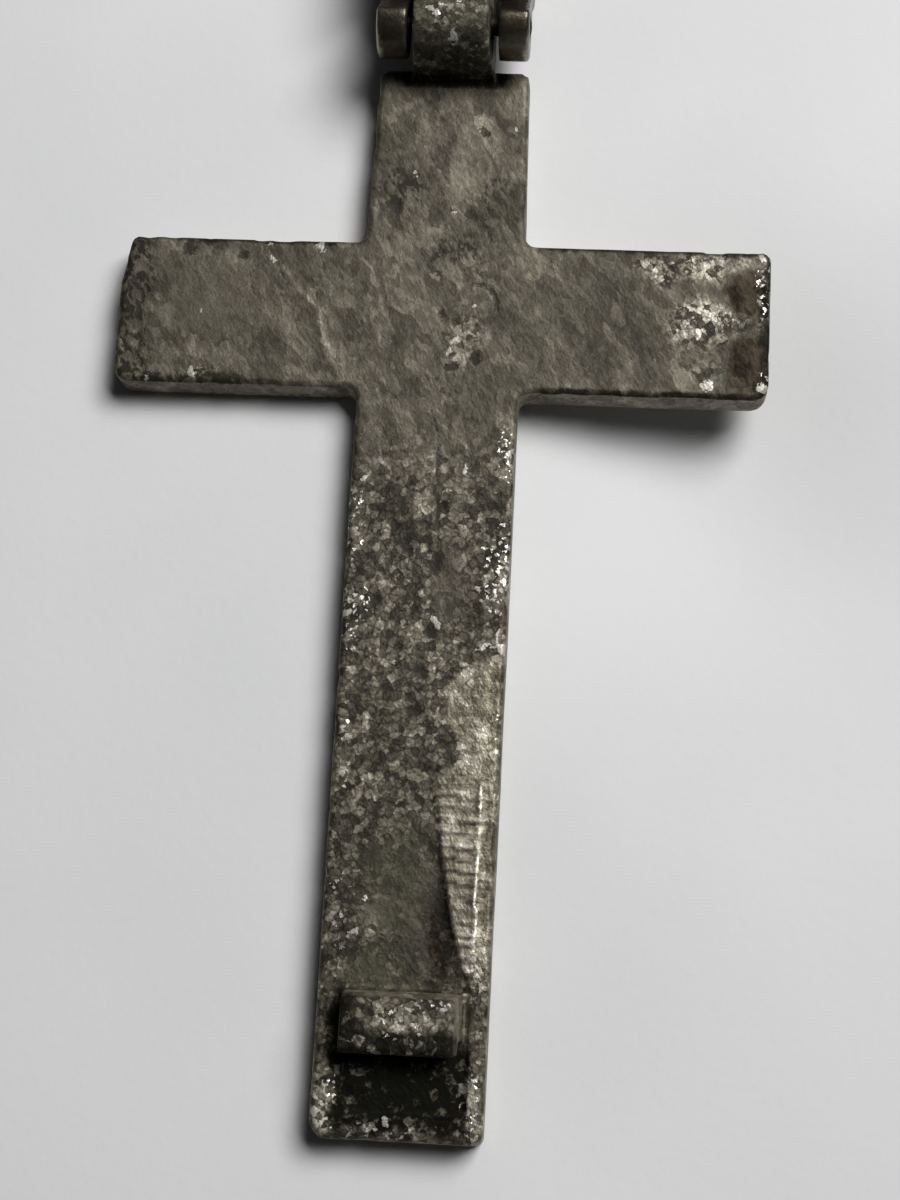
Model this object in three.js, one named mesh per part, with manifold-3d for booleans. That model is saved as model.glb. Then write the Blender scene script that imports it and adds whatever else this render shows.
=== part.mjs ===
// A plain Latin reliquary cross in cast white metal: a hollow cross-shaped case and a thick flat lid of the same
// outline, joined at the end of the short upper limb by a three-knuckle hinge. It lies open and flat on a table. The
// lid shows its inner face, with its hinge lug at one end, its catch at the other and a shallow scoop around the
// catch. The case shows its hollow. Millimetres, +Z up. The origin is on the table, straight below the hinge pin:
// the lid runs to -Y and the case to +Y.
import * as THREE from 'three';
import { mergeVertices } from 'three/addons/utils/BufferGeometryUtils.js';
import Module from 'manifold-3d';

const wasm = await Module();
wasm.setup();

// Outline, shared by the lid and the case. Reaches are from the middle of the crossbar.
const limbWidth = 11.5;
const hingeEndWidth = 11.0;
const crossbarWidth = 11.1;
const armReach = 23.35;
const hingeEndReach = 19.3;
const footReach = 57.2;
const armSlant = 0.6;
const armSlantLength = 3.4;
const squareCorner = 0.5;
const wornCorner = 1.2;
const innerCorner = 0.8;

// Lid
const lidThickness = 2.8;
const lidEdge = 0.35;
const endBevelLength = 1.3;
const endBevelDepth = 0.5;

// Case
const caseWall = 1.25;
const caseFloor = 1.3;
const caseEdge = 0.6;

// Hinge. The pin's axis lies beyond the lid's end and above its inner face.
const pinBeyondLid = 2.0;
const pinRise = 2.7;
const pinRadius = 0.7;
const pinChamfer = 0.15;
const boreClearance = 0.15;
const lugBaseHalf = 3.0;
const lugTopHalfLeft = 2.85;
const lugTopHalfRight = 2.5;
const lugRadius = 2.6;
const lugFootLength = 1.2;
const lugToCase = 0.4;
const heelToCase = 0.15;
const heelTop = 0.6;
const lugToFace = 0.1;
const seatGap = 0.1;
const earRadius = 2.45;
const lugSideGap = 0.3;

// Catch, a hooked block that stands on the lid's inner face and goes into the hollow
const catchFromFoot = 5.5;
const catchLength = 4.2;
const catchHeight = 2.4;
const catchSideClearance = 0.45;
const catchRound = 0.45;
const catchLip = 1.1;
const catchThroat = 1.0;
const catchEndDraft = 0.5;

// Scoop in the lid's inner face, inside the case's walls. Its right side is a curved ledge.
const scoopLength = 24.5;
const scoopDepthRight = 0.45;
const scoopDepthLeft = 0.12;
const scoopFootMargin = 0.35;
const ledgeStart = 3.0;
const ledgeMiddle = 2.9;

// Fineness
const cornerSteps = 5;
const edgeSteps = 3;
const barrelSteps = 18;
const pinSides = 20;
const embed = 0.5;
const beyond = 5;
const edgeMargin = 0.1;

const pinFromMiddle = hingeEndReach + pinBeyondLid;
const pinHeight = lidThickness + pinRise;
const caseDepth = lidThickness + 2 * pinRise - seatGap;
const lugBaseFromPin = pinBeyondLid + lugFootLength;
const caseEndFromPin = lugBaseFromPin + lugToCase;
const earOuter = hingeEndWidth / 2;
const earInner = lugBaseHalf + lugSideGap;
const boreRadius = pinRadius + boreClearance;
const hollowHalf = limbWidth / 2 - caseWall;

/** A closed geometry as a manifold solid. */
function solid(geometry) {
  const bare = geometry.clone();
  bare.deleteAttribute('normal');
  bare.deleteAttribute('uv');
  const merged = mergeVertices(bare, 1e-5);
  return new wasm.Manifold(new wasm.Mesh({
    numProp: 3,
    vertProperties: new Float32Array(merged.attributes.position.array),
    triVerts: new Uint32Array(merged.index.array),
  }));
}

/** A manifold solid as a geometry with flat facets. */
function geometryOf(body) {
  const mesh = body.getMesh();
  const indexed = new THREE.BufferGeometry();
  indexed.setAttribute('position', new THREE.BufferAttribute(new Float32Array(mesh.vertProperties), 3));
  indexed.setIndex(new THREE.BufferAttribute(new Uint32Array(mesh.triVerts), 1));
  const facets = indexed.toNonIndexed();
  facets.computeVertexNormals();
  return facets;
}

/** A box from its lowest and highest corners. */
function block(low, high) {
  const size = high.map((value, i) => value - low[i]);
  const middle = high.map((value, i) => (value + low[i]) / 2);
  return new THREE.BoxGeometry(...size).translate(...middle);
}

/** A closed shape from corners [x, y, radius], each rounded by an arc in steps that follow how far it turns. */
function roundedShape(corners) {
  const points = [];
  corners.forEach(([x, y, radius], i) => {
    const corner = new THREE.Vector2(x, y);
    const before = new THREE.Vector2(...corners.at(i - 1)).sub(corner).normalize();
    const after = new THREE.Vector2(...corners[(i + 1) % corners.length]).sub(corner).normalize();
    const turn = Math.PI - Math.acos(before.dot(after));
    const centre = before.clone().add(after).setLength(radius / Math.cos(turn / 2)).add(corner);
    const start = before.clone().multiplyScalar(radius * Math.tan(turn / 2)).add(corner);
    const sense = before.cross(after) > 0 ? -1 : 1;
    const steps = Math.max(1, Math.round((cornerSteps * turn) / (Math.PI / 2)));
    for (let step = 0; step <= steps; step += 1) {
      points.push(start.clone().rotateAround(centre, (sense * turn * step) / steps));
    }
  });
  return new THREE.Shape(points);
}

/** Half the width of the upright at a distance from the crossbar's middle towards the hinge. */
function uprightHalf(y) {
  const share = THREE.MathUtils.clamp((y - crossbarWidth / 2) / (hingeEndReach - crossbarWidth / 2), 0, 1);
  return THREE.MathUtils.lerp(limbWidth, hingeEndWidth, share) / 2;
}

/**
 * The cross's outline up to endY, with its origin at the crossbar's middle and the hinge end at +Y. It is drawn in by
 * inset, and no corner is sharper than leastRadius.
 */
function crossShape(endY, inset, leastRadius) {
  const half = limbWidth / 2 - inset;
  const bar = crossbarWidth / 2 - inset;
  const arm = armReach - inset;
  const foot = footReach - inset;
  const top = endY - inset;
  const topHalf = uprightHalf(endY) - inset;
  const sharp = Math.max(squareCorner, leastRadius);
  const worn = Math.max(wornCorner, leastRadius);
  return roundedShape([
    [-half, -foot, worn],
    [half, -foot, sharp],
    [half, -bar, innerCorner],
    [arm, -bar, worn],
    [arm, bar, sharp],
    [half, bar, innerCorner],
    [topHalf, top, sharp],
    [-topHalf, top, sharp],
    [-half, bar, innerCorner],
    [-arm + armSlant, bar, sharp],
    [-arm, bar - armSlantLength, sharp],
    [-arm, -bar, worn],
    [-half, -bar, innerCorner],
  ]);
}

/** A (y, z) profile extruded along X from x0 to x1. */
function alongX(shape, x0, x1, curveSegments = barrelSteps) {
  const geometry = new THREE.ExtrudeGeometry(shape, { depth: x1 - x0, bevelEnabled: false, curveSegments });
  const turned = new THREE.Matrix4().makeBasis(
    new THREE.Vector3(0, 1, 0),
    new THREE.Vector3(0, 0, 1),
    new THREE.Vector3(1, 0, 0),
  );
  return geometry.applyMatrix4(turned).translate(x0, 0, 0);
}

/** A cylinder along X through the pin's axis. */
function pinBore() {
  return new THREE.CylinderGeometry(boreRadius, boreRadius, limbWidth + 2 * beyond, pinSides).rotateZ(Math.PI / 2);
}

/** The lid's plate with rounded edges. In the lid's frame the pin's axis is y = 0, z = 0. */
function lidPlate() {
  const plate = new THREE.ExtrudeGeometry(crossShape(hingeEndReach, 0, lidEdge + edgeMargin), {
    depth: lidThickness - 2 * lidEdge,
    bevelThickness: lidEdge,
    bevelSize: lidEdge,
    bevelOffset: -lidEdge,
    bevelSegments: edgeSteps,
  });
  return plate.translate(0, -pinFromMiddle, -pinRise - lidThickness + lidEdge);
}

/** What is bevelled off the end of the lid's inner face, under the ears. */
function endBevel() {
  const angle = Math.atan2(endBevelDepth, endBevelLength);
  const cutter = block([-limbWidth, -beyond, 0], [limbWidth, beyond, beyond]);
  return cutter
    .translate(0, beyond, 0)
    .rotateX(-angle)
    .translate(0, -pinBeyondLid - endBevelLength, -pinRise);
}

/**
 * The lug that rises from the lid's end to its barrel round the pin. Its heel stops the lid when it lies flat. Its
 * right side leans in more than its left.
 */
function hingeLug() {
  const base = new THREE.Vector2(-lugBaseFromPin, -pinRise);
  const tangent = base.angle() - Math.acos(lugRadius / base.length());
  const heel = caseEndFromPin - heelToCase;
  const under = base.y + lugToFace;
  const profile = new THREE.Shape();
  profile.moveTo(base.x, base.y - embed);
  profile.lineTo(base.x, base.y);
  profile.absarc(0, 0, lugRadius, tangent, 0, true);
  profile.lineTo(heel, -heelTop);
  profile.lineTo(heel, under);
  profile.lineTo(-pinBeyondLid - lidEdge, under);
  profile.lineTo(-pinBeyondLid - lidEdge, base.y - embed);
  profile.closePath();
  const geometry = alongX(profile, -0.5, 0.5);
  const position = geometry.attributes.position;
  for (let i = 0; i < position.count; i += 1) {
    const share = (position.getZ(i) + pinRise) / (pinRise + lugRadius);
    const side = Math.sign(position.getX(i));
    const topHalf = side > 0 ? lugTopHalfRight : lugTopHalfLeft;
    position.setX(i, side * THREE.MathUtils.lerp(lugBaseHalf, topHalf, share));
  }
  return geometry;
}

/** The scoop's cutter: flat-bottomed, deeper on the right, and bounded there by a curved ledge. */
function scoop() {
  const foot = -footReach + caseWall + scoopFootMargin;
  const start = foot + scoopLength;
  const outline = new THREE.Shape();
  outline.moveTo(-hollowHalf, foot);
  outline.lineTo(hollowHalf, foot);
  outline.lineTo(hollowHalf - 0.1, -footReach + catchFromFoot + catchLength);
  outline.quadraticCurveTo(hollowHalf - ledgeMiddle, start - scoopLength / 3, hollowHalf - ledgeStart, start);
  outline.lineTo(-hollowHalf, start - 1.5);
  outline.closePath();
  const cutter = new THREE.ExtrudeGeometry(outline, { depth: beyond, bevelEnabled: false, curveSegments: 8 });
  const acrossSlope = Math.atan2(scoopDepthRight - scoopDepthLeft, 2 * hollowHalf);
  const alongSlope = Math.atan2(scoopDepthRight + scoopDepthLeft, scoopLength) / 2;
  return cutter
    .translate(0, -foot, 0)
    .rotateY(acrossSlope)
    .rotateX(alongSlope)
    .translate(0, foot - pinFromMiddle, -pinRise - (scoopDepthRight + scoopDepthLeft) / 2);
}

/** The catch: a block with a round-edged top, overhung on the foot's side and sloped at its ends. */
function catchHook() {
  const lip = -footReach + catchFromFoot - pinFromMiddle;
  const back = lip + catchLength;
  const face = -pinRise;
  const top = face + catchHeight;
  const profile = new THREE.Shape();
  profile.moveTo(lip + catchLip, face - embed - scoopDepthRight);
  profile.lineTo(back, face - embed - scoopDepthRight);
  profile.lineTo(back, face);
  profile.lineTo(back - catchRound, top - catchRound);
  profile.quadraticCurveTo(back - catchRound, top, back - 2 * catchRound, top);
  profile.lineTo(lip + catchRound, top);
  profile.quadraticCurveTo(lip, top, lip, top - catchRound);
  profile.lineTo(lip + 0.15, face + catchThroat);
  profile.quadraticCurveTo(lip + catchLip, face + catchThroat, lip + catchLip, face);
  profile.closePath();
  const half = hollowHalf - catchSideClearance;
  const geometry = alongX(profile, -half, half, 6);
  const position = geometry.attributes.position;
  for (let i = 0; i < position.count; i += 1) {
    const share = THREE.MathUtils.clamp((position.getZ(i) - face) / catchHeight, 0, 1);
    const side = Math.sign(position.getX(i));
    position.setX(i, side * (half - catchEndDraft * share * (side > 0 ? 1 : 0.3)));
  }
  return geometry;
}

/** The lid, cast in one with its hinge lug and its catch. */
function lid() {
  return solid(lidPlate())
    .subtract(solid(endBevel()))
    .subtract(solid(scoop()))
    .add(solid(hingeLug()))
    .add(solid(catchHook()))
    .subtract(solid(pinBore()));
}

/** One of the two ears that carry the pin on either side of the lug, in the closed case's frame. */
function ear(x0, x1) {
  const profile = new THREE.Shape();
  profile.moveTo(-caseEndFromPin - embed, -earRadius);
  profile.absarc(0, 0, earRadius, -Math.PI / 2, Math.PI / 2, false);
  profile.lineTo(-caseEndFromPin - embed, earRadius);
  profile.closePath();
  return alongX(profile, x0, x1);
}

/** The case as it stands on the closed lid, with its rim a seat gap above the lid's face and its front face up. */
function reliquaryCase() {
  const endY = pinFromMiddle - caseEndFromPin;
  const rim = seatGap - pinRise;
  const outer = new THREE.ExtrudeGeometry(crossShape(endY, 0, caseEdge + edgeMargin), {
    depth: caseDepth,
    bevelThickness: caseEdge,
    bevelSize: caseEdge,
    bevelOffset: -caseEdge,
    bevelSegments: edgeSteps,
  }).translate(0, -pinFromMiddle, rim - caseEdge);
  const belowRim = block(
    [-2 * armReach, -2 * footReach - pinFromMiddle, rim - beyond],
    [2 * armReach, beyond, rim],
  );
  const hollow = new THREE.ExtrudeGeometry(crossShape(endY, caseWall, 0), {
    depth: caseDepth - caseFloor + beyond,
    bevelEnabled: false,
  }).translate(0, -pinFromMiddle, rim - beyond);
  return solid(outer)
    .subtract(solid(belowRim))
    .subtract(solid(hollow))
    .add(solid(ear(earInner, earOuter)))
    .add(solid(ear(-earOuter, -earInner)))
    .subtract(solid(pinBore()));
}

/** The hinge pin, flush with the ears. */
function hingePin() {
  const profile = [
    [0, -earOuter],
    [pinRadius - pinChamfer, -earOuter],
    [pinRadius, -earOuter + pinChamfer],
    [pinRadius, earOuter - pinChamfer],
    [pinRadius - pinChamfer, earOuter],
    [0, earOuter],
  ];
  return new THREE.LatheGeometry(profile.map(([r, y]) => new THREE.Vector2(r, y)), pinSides).rotateZ(Math.PI / 2);
}

const innerMetal = new THREE.MeshStandardMaterial({ color: 0x5f5a50, roughness: 0.62, metalness: 0.8 });
const outerMetal = new THREE.MeshStandardMaterial({ color: 0x7d776c, roughness: 0.45, metalness: 0.9 });
const pinMetal = new THREE.MeshStandardMaterial({ color: 0x55504a, roughness: 0.4, metalness: 0.9 });

const lidMesh = new THREE.Mesh(geometryOf(lid()), innerMetal);
lidMesh.name = 'lid';

const caseMesh = new THREE.Mesh(geometryOf(reliquaryCase()), outerMetal);
caseMesh.name = 'case';
caseMesh.rotation.x = Math.PI;

const pinMesh = new THREE.Mesh(hingePin(), pinMetal);
pinMesh.name = 'hinge_pin';

const cross = new THREE.Group();
cross.add(lidMesh, caseMesh, pinMesh);
cross.position.z = pinHeight;
cross.updateMatrixWorld(true);

export default cross;
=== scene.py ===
"""A reliquary cross in worn cast metal, lying open on pale paper.

The lid lies with its inner face up, and the hollow case lies beyond the hinge. Lengths in capitals are
millimetres in the lid's own frame: u runs to the right, v along the upright towards the hinge and w up,
from the middle of the crossbar on the lid's inner face.
"""

import itertools
import math
from types import SimpleNamespace

import bmesh
import bpy
import numpy as np
from mathutils import Matrix, Vector


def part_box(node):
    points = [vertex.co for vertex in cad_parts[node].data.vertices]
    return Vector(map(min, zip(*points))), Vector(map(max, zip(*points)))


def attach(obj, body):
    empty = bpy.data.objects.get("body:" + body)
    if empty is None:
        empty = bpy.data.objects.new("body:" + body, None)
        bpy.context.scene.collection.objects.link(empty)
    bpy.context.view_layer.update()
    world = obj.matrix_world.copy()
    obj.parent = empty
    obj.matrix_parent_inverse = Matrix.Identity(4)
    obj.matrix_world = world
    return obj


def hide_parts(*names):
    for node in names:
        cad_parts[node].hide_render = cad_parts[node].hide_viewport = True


MM = 0.001

# The cross
LIMB_WIDTH = 11.5
BAR_WIDTH = 11.1
ARM_REACH = 23.35
HINGE_END_REACH = 19.3
FOOT_REACH = 57.2
LID_THICKNESS = 2.8
SCOOP_RIM = 0.8
CASE_FLOOR = 1.3

# The pin and its peened ends
PIN_SIDES = 40
PIN_BULGE = 0.12
PIN_SHOULDER = 0.09
PIN_BAND = 0.3

# The camera, as fitted to the outline of the lid
CAMERA_PLACE = (10.95, -53.46, 141.06)
CAMERA_RIGHT = (0.9972, 0.0523, -0.0531)
CAMERA_UP = (-0.0389, 0.9729, 0.2281)
CAMERA_LENS = 63.0
CAMERA_SENSOR = 36.0
CAMERA_NEAREST = 5.0

# The window, placed in the frame's own millimetres, and the room round it
WINDOW_PLACE = (260, 205, 490)
WINDOW_AIM = (0, -20, 0)
WINDOW_SIZE = 330
WINDOW_WATTS = 4.2
WINDOW_COLOUR = (1.0, 0.99, 0.97)
ROOM_COLOUR = (0.93, 0.96, 1.0)
ROOM_STRENGTH = 0.02

# The paper, and where in the frame it sags
PAPER_REACH = 800.0
PAPER_CELLS = 200
SAG_PLACE = (20.0, -30.0)
SAG_DEPTH = 3.3
SAG_REACH = 13.0

# How fine the meshes are
LID_VOXEL = 0.2
CASE_VOXEL = 0.28

# How high or deep the relief is, on the lid and then on the case
SWELL_HEIGHT = 0.03
SKIN_HEIGHT = 0.012
COARSE_HEIGHT = 0.05
HOLE_DEPTH = 0.07
FLAKE_HEIGHT = 0.05
TREAD_HEIGHT = 0.12
TREAD_GRAIN = 0.03
GROOVE_DEPTH = 0.05
RIDGE_HEIGHT = 0.06
CRACK_DEPTH = 0.06
SCRATCH_HEIGHT = 0.04
PIT_DEPTH = 0.08
CHIP_HEIGHT = 0.03
NICK_DEPTH = 0.09
CASE_SKIN_HEIGHT = 0.01
INSIDE_HEIGHT = 0.07
RIM_WEAR_DEPTH = 0.06

# How large the patterns in the lid's skin are
DAB = 0.56
DAB_LEAN = math.radians(28)
FLAKE = 0.55
CRUMB = 0.23
PLATE = 1.6
STROKE = 0.5
GRAIN = 0.2
CLOUD = 3.0
CRACK_SPACING = 1.1

# Colours, and rows of colours from dark to light. A row's shares say where in a tone each colour stands.
LID_SKIN = [
    (0.05, (0.018, 0.015, 0.009)),
    (0.3, (0.062, 0.053, 0.036)),
    (0.5, (0.122, 0.109, 0.08)),
    (0.72, (0.262, 0.24, 0.185)),
    (0.95, (0.6, 0.57, 0.5)),
]
WARM_SKIN = [(0.2, (0.05, 0.04, 0.03)), (0.75, (0.31, 0.262, 0.212))]
STAINED_SKIN = [(0.25, (0.012, 0.008, 0.005)), (0.7, (0.085, 0.066, 0.046))]
CASE_SKIN = [
    (0.05, (0.03, 0.025, 0.017)),
    (0.35, (0.09, 0.077, 0.056)),
    (0.55, (0.17, 0.15, 0.115)),
    (0.95, (0.5, 0.48, 0.42)),
]
# The pin is nearly black, as painted shade in the gaps beside the lug
PIN_SKIN = [(0.3, (0.02, 0.017, 0.013)), (0.7, (0.06, 0.052, 0.042))]
PAPER_SHADES = [(0.3, (0.72, 0.73, 0.745)), (0.7, (0.76, 0.77, 0.78))]
GREEN_COLOUR = (0.08, 0.077, 0.045)
# Near black, for dark dirt and for the painted shade and painted shadows round the lug, the catch and the
# ledge
DIRT_AND_SHADE_COLOUR = (0.006, 0.006, 0.004)
PIT_COLOUR = (0.018, 0.015, 0.01)
# Clean metal, also used for painted glints
BRIGHT_COLOUR = (0.8, 0.78, 0.71)

# Soft borders on the lid. What a border bounds begins at its first value and is full at its second.
BODY_LEVEL = (-2.0, -1.2)
EDGE_LEVEL = (-1.5, -0.5)
FACE_LEVEL = (-1.2, -0.7)
FLOOR_LEVEL = (0.8, 0.3)
EDGE_DEPTH = (0.5, 0.15)
STRIP_SIDE = (-0.05, 0.15)
STRIP_START = (-24.2, -25.0)
BARE_END = (-49.0, -44.5)
STEPS_START = (-32.0, -34.0)
STEPS_DEEPEN = (-33, -38)
STEPS_SIDE = (4.75, 4.55)
GROOVE_SIDE = (4.6, 4.8)
RIDGE_START = (-32.6, -33.0)
RIDGE_END = (-44.4, -43.9)
RIDGE_SIDE = (0.3, 0.1)
FLAKES_START = (-4, -17)
ARM_CRACKS = (-20.4, -22.0)
LOW_CRACKS = (-4.6, -5.2)
LOW_CRACKS_START = (-13, -15)
HOLLOW_START = (-28, -44)
HOLLOW_DEPTH = (0.9, 1.5)
SCOOP_START = (-50.6, -51.4)
SCOOP_DEPTH = (0.2, 0.9)
CATCH_START = (-47, -48)
CATCH_LEVEL = (0.9, 1.4)
CATCH_FRONT = (-49.8, -50.5)
CATCH_LEFT = (-2.2, -3.3)
CATCH_SHADE_START = (-51.4, -51.8)
CATCH_SHADE_END = (-53.4, -52.8)
CATCH_SHADE_SIDES = (4.4, 3.6)
LUG_START = (17.2, 17.5)
LUG_LEVEL = (0.3, 0.8)
LUG_FOOT_START = (17.55, 17.85)
LUG_FOOT_LEVEL = (2.2, 0.4)
LUG_FOOT_SIDES = (4.3, 3.4)
LUG_SHADE_START = (17.4, 18.3)
LUG_SHADE_SIDE = (3.4, 1.5)
LUG_FRONT_START = (17.4, 17.8)
LUG_FRONT_TOP = (4.3, 3.4)
LUG_FRONT_LEVEL = (0.3, 0.6)
ARM_EDGE = (0.5, 0.2)
ARMS_START = (6.5, 8)
RIGHT_ARM_START = (1, 7)
ARM_TOP = (4.0, 4.6)
ARM_END = (22.3, 22.8)

# Soft borders on the case, in the frame's own millimetres
INSIDE_DEPTH = (0.9, 1.3)
INSIDE_START = (3.9, 4.3)
INSIDE_LEVEL = (CASE_FLOOR - 0.4, CASE_FLOOR - 0.1)
RIM_START = (3.3, 3.6)
RIM_BELOW_TOP = (0.5, 0.1)
EARS_END = (3.6, 3.0)
LEFT_EAR_SIDE = (-5.05, -5.35)
LEFT_EAR_LEVEL = (3.5, 4.5)
RIGHT_EAR_PATCH = ((5.0, -2.1), (2.2, 0.8))
RIGHT_EAR_LEVEL = (4.0, 4.6)


def step(value, low, high):
    """0 at low and beyond it, 1 at high and beyond it, and smooth between. low may be above high."""
    share = np.clip((value - low) / (high - low), 0, 1)
    return share * share * (3 - 2 * share)


def hashed(cells, seed):
    """A repeatable value from 0 to 1 for each whole-numbered cell."""
    mixed = cells[:, 0] * 73856093 ^ cells[:, 1] * 19349663 ^ cells[:, 2] * 83492791 ^ seed * 50331653
    mixed = (mixed ^ (mixed >> 13)) * 1274126177 & 0x7FFFFFFF
    mixed = (mixed ^ (mixed >> 11)) * 668265263 & 0x7FFFFFFF
    return (mixed >> 7 & 0xFFFFFF) / 0xFFFFFF


def noise(points, size, seed):
    """Smooth noise from -1 to 1 with bumps about size across. size may differ along the three axes."""
    scaled = points / size
    cell = np.floor(scaled).astype(np.int64)
    part = scaled - cell
    part = part * part * (3 - 2 * part)
    total = np.zeros(len(points))
    for corner in itertools.product((0, 1), repeat=3):
        weight = np.prod(np.where(corner, part, 1 - part), axis=1)
        total += weight * hashed(cell + corner, seed)
    return 2 * total - 1


def layered(points, size, seed, layers=3):
    """Noise with finer layers, each half as large and half as strong as the one before."""
    size = np.asarray(size, float)
    total = sum(noise(points, size / 2**n, seed + n) / 2**n for n in range(layers))
    return total / (2 - 0.5 ** (layers - 1))


def spot(u, v, centre, reach, inner=0.4):
    """1 in the middle of an ellipse and 0 outside it."""
    distance = np.hypot((u - centre[0]) / reach[0], (v - centre[1]) / reach[1])
    return step(distance, 1, inner)


def line(u, v, points, half_width):
    """1 along a broken line and 0 beyond half_width from it."""
    near = np.full(len(u), 1e9)
    for (u0, v0), (u1, v1) in itertools.pairwise(points):
        along = np.array([u1 - u0, v1 - v0])
        length = np.hypot(*along)
        share = np.clip(((u - u0) * along[0] + (v - v0) * along[1]) / length**2, 0, 1)
        near = np.minimum(near, np.hypot(u - u0 - share * along[0], v - v0 - share * along[1]))
    return step(near, half_width, 0)


def inset(u, v):
    """How far a point lies inside the outline of the cross."""
    upright = np.minimum(LIMB_WIDTH / 2 - np.abs(u), np.minimum(v + FOOT_REACH, HINGE_END_REACH - v))
    crossbar = np.minimum(ARM_REACH - np.abs(u), BAR_WIDTH / 2 - np.abs(v))
    return np.maximum(upright, crossbar)


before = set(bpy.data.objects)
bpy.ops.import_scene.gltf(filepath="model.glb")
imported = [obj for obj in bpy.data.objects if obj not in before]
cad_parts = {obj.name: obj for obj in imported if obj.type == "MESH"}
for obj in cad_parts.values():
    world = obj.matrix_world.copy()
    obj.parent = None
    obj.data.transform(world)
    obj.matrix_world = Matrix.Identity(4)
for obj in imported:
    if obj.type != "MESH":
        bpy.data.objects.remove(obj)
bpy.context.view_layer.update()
lid_low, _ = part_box("lid")
CROSSING = np.array([0, lid_low.y / MM + FOOT_REACH, LID_THICKNESS])


def dense(node, voxel):
    """A new piece of small even facets in the shape of a CAD node, with its places and normals in mm."""
    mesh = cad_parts[node].data.copy()
    mesh.transform(Matrix.Scale(1 / MM, 4))
    piece = bpy.data.objects.new("dense_" + node, mesh)
    bpy.context.scene.collection.objects.link(piece)
    remesh = piece.modifiers.new("Remesh", "REMESH")
    remesh.mode = "VOXEL"
    remesh.voxel_size = voxel
    shown = piece.evaluated_get(bpy.context.evaluated_depsgraph_get())
    piece.data = bpy.data.meshes.new_from_object(shown)
    piece.modifiers.clear()
    count = len(piece.data.vertices)
    places = np.empty(count * 3)
    piece.data.vertices.foreach_get("co", places)
    normals = np.empty(count * 3)
    piece.data.vertex_normals.foreach_get("vector", normals)
    return piece, places.reshape(-1, 3), normals.reshape(-1, 3)


def settle(piece, places, masks):
    """Puts moved places, still in millimetres, back into a piece, with its masks as point attributes."""
    piece.data.vertices.foreach_set("co", (places * MM).ravel())
    for name, values in masks.items():
        attribute = piece.data.attributes.new(name, "FLOAT", "POINT")
        attribute.data.foreach_set("value", np.clip(values, 0, 1).astype(np.float32))
    piece.data.shade_smooth()
    piece.data.update()
    piece.data.materials.clear()


# The marks on the lid's inner face. A patch is its middle, its reach and its strength, and a dot is its
# middle and radius. The ledge and the ridge run down the limb: each point is how far down it lies, and its u.
LEDGE = [
    (24.0, 5.6), (24.8, 3.8), (26.0, 2.4), (27.1, 1.6), (29.5, 2.0), (31.0, 3.1), (31.8, 2.9), (33.6, 1.1),
    (36.0, 1.7), (38.9, 2.15), (43.0, 2.95), (48.0, 3.95),
]
RIDGE = [(33.0, 4.5), (37.3, 4.58), (41.7, 4.42), (42.0, 4.65), (44.1, 4.55)]
TOP_RIDGE = [(3.8, -24.3), (4.95, -23.85), (5.6, -24.3)]
TOP_RIDGE_BRANCH = [(5.2, -22.5), (4.95, -23.85)]
DARK_SCRATCH = [(-0.4, -7.0), (0.4, -9.2), (0.5, -13.0), (0.7, -17.9)]
LIGHT_SCRATCH = [(-11.5, 3.4), (-10.3, 1.7), (-8.9, 0.25), (-7.9, -2.9), (-6.9, -5.1)]
SHORT_SCRATCH = [(-0.8, -14.2), (0.5, -15.5)]
CRACK = [(2.4, 7.4), (3.1, 6.7), (3.4, 5.8)]
ROUND_MARK = (2.3, 0.9, 1.65)
STEP_PITCH = 0.85
PITS = [
    (2.5, 14.3, 0.35), (3.3, 10.7, 0.3), (-3.9, 11.1, 0.4), (-3.8, 8.3, 0.5), (1.7, 7.8, 0.4),
    (-0.6, 4.5, 0.35), (-0.5, 3.3, 0.35), (0.7, 4.2, 0.35), (0.0, 0.2, 0.3), (1.0, -3.8, 0.42),
    (2.6, -3.1, 0.36), (-14.5, 4.2, 0.35), (-18.6, 4.7, 0.5), (0.5, -10.6, 0.3), (1.0, -14.0, 0.35),
    (-0.3, -15.2, 0.45), (-2.4, -15.4, 0.4), (-1.6, -17.0, 0.5), (0.6, -18.4, 0.45), (-3.2, -21.2, 0.55),
    (0.5, -23.1, 0.4), (-0.1, -25.9, 0.55), (-0.5, -28.7, 0.5), (1.6, -47.1, 0.4),
]
# Bright chips of clean metal, some of them painted glints
CHIPS = [
    (-2.6, 10.8, 0.25), (0.3, 8.0, 0.25), (4.8, 14.7, 0.25), (2.5, 0.8, 0.22), (0.8, -2.6, 0.26),
    (-8.8, 5.0, 0.36), (-12.7, 5.3, 0.2), (-12.5, 4.0, 0.22), (-17.2, -0.1, 0.22), (-20.7, -5.1, 0.28),
    (-17.5, -4.8, 0.28), (0.8, -22.4, 0.3), (2.3, -11.4, 0.2), (3.8, -19.9, 0.32), (-4.9, -12.2, 0.25),
    (-5.4, -22.0, 0.28), (5.6, -19.7, 0.28), (4.9, -20.8, 0.32), (5.5, -9.9, 0.28), (5.6, -11.0, 0.22),
    (-5.0, -33.0, 0.25), (-2.8, -41.5, 0.26), (-3.5, -43.9, 0.25), (22.6, 5.3, 0.4), (23.1, -3.8, 0.25),
    (22.8, -4.6, 0.4), (19.0, -4.5, 0.4), (-1.3, 21.0, 0.35), (0.1, 19.5, 0.35), (1.7, 19.0, 0.22),
    (-0.7, -55.8, 0.22), (4.5, -44.1, 0.35),
]
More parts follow.
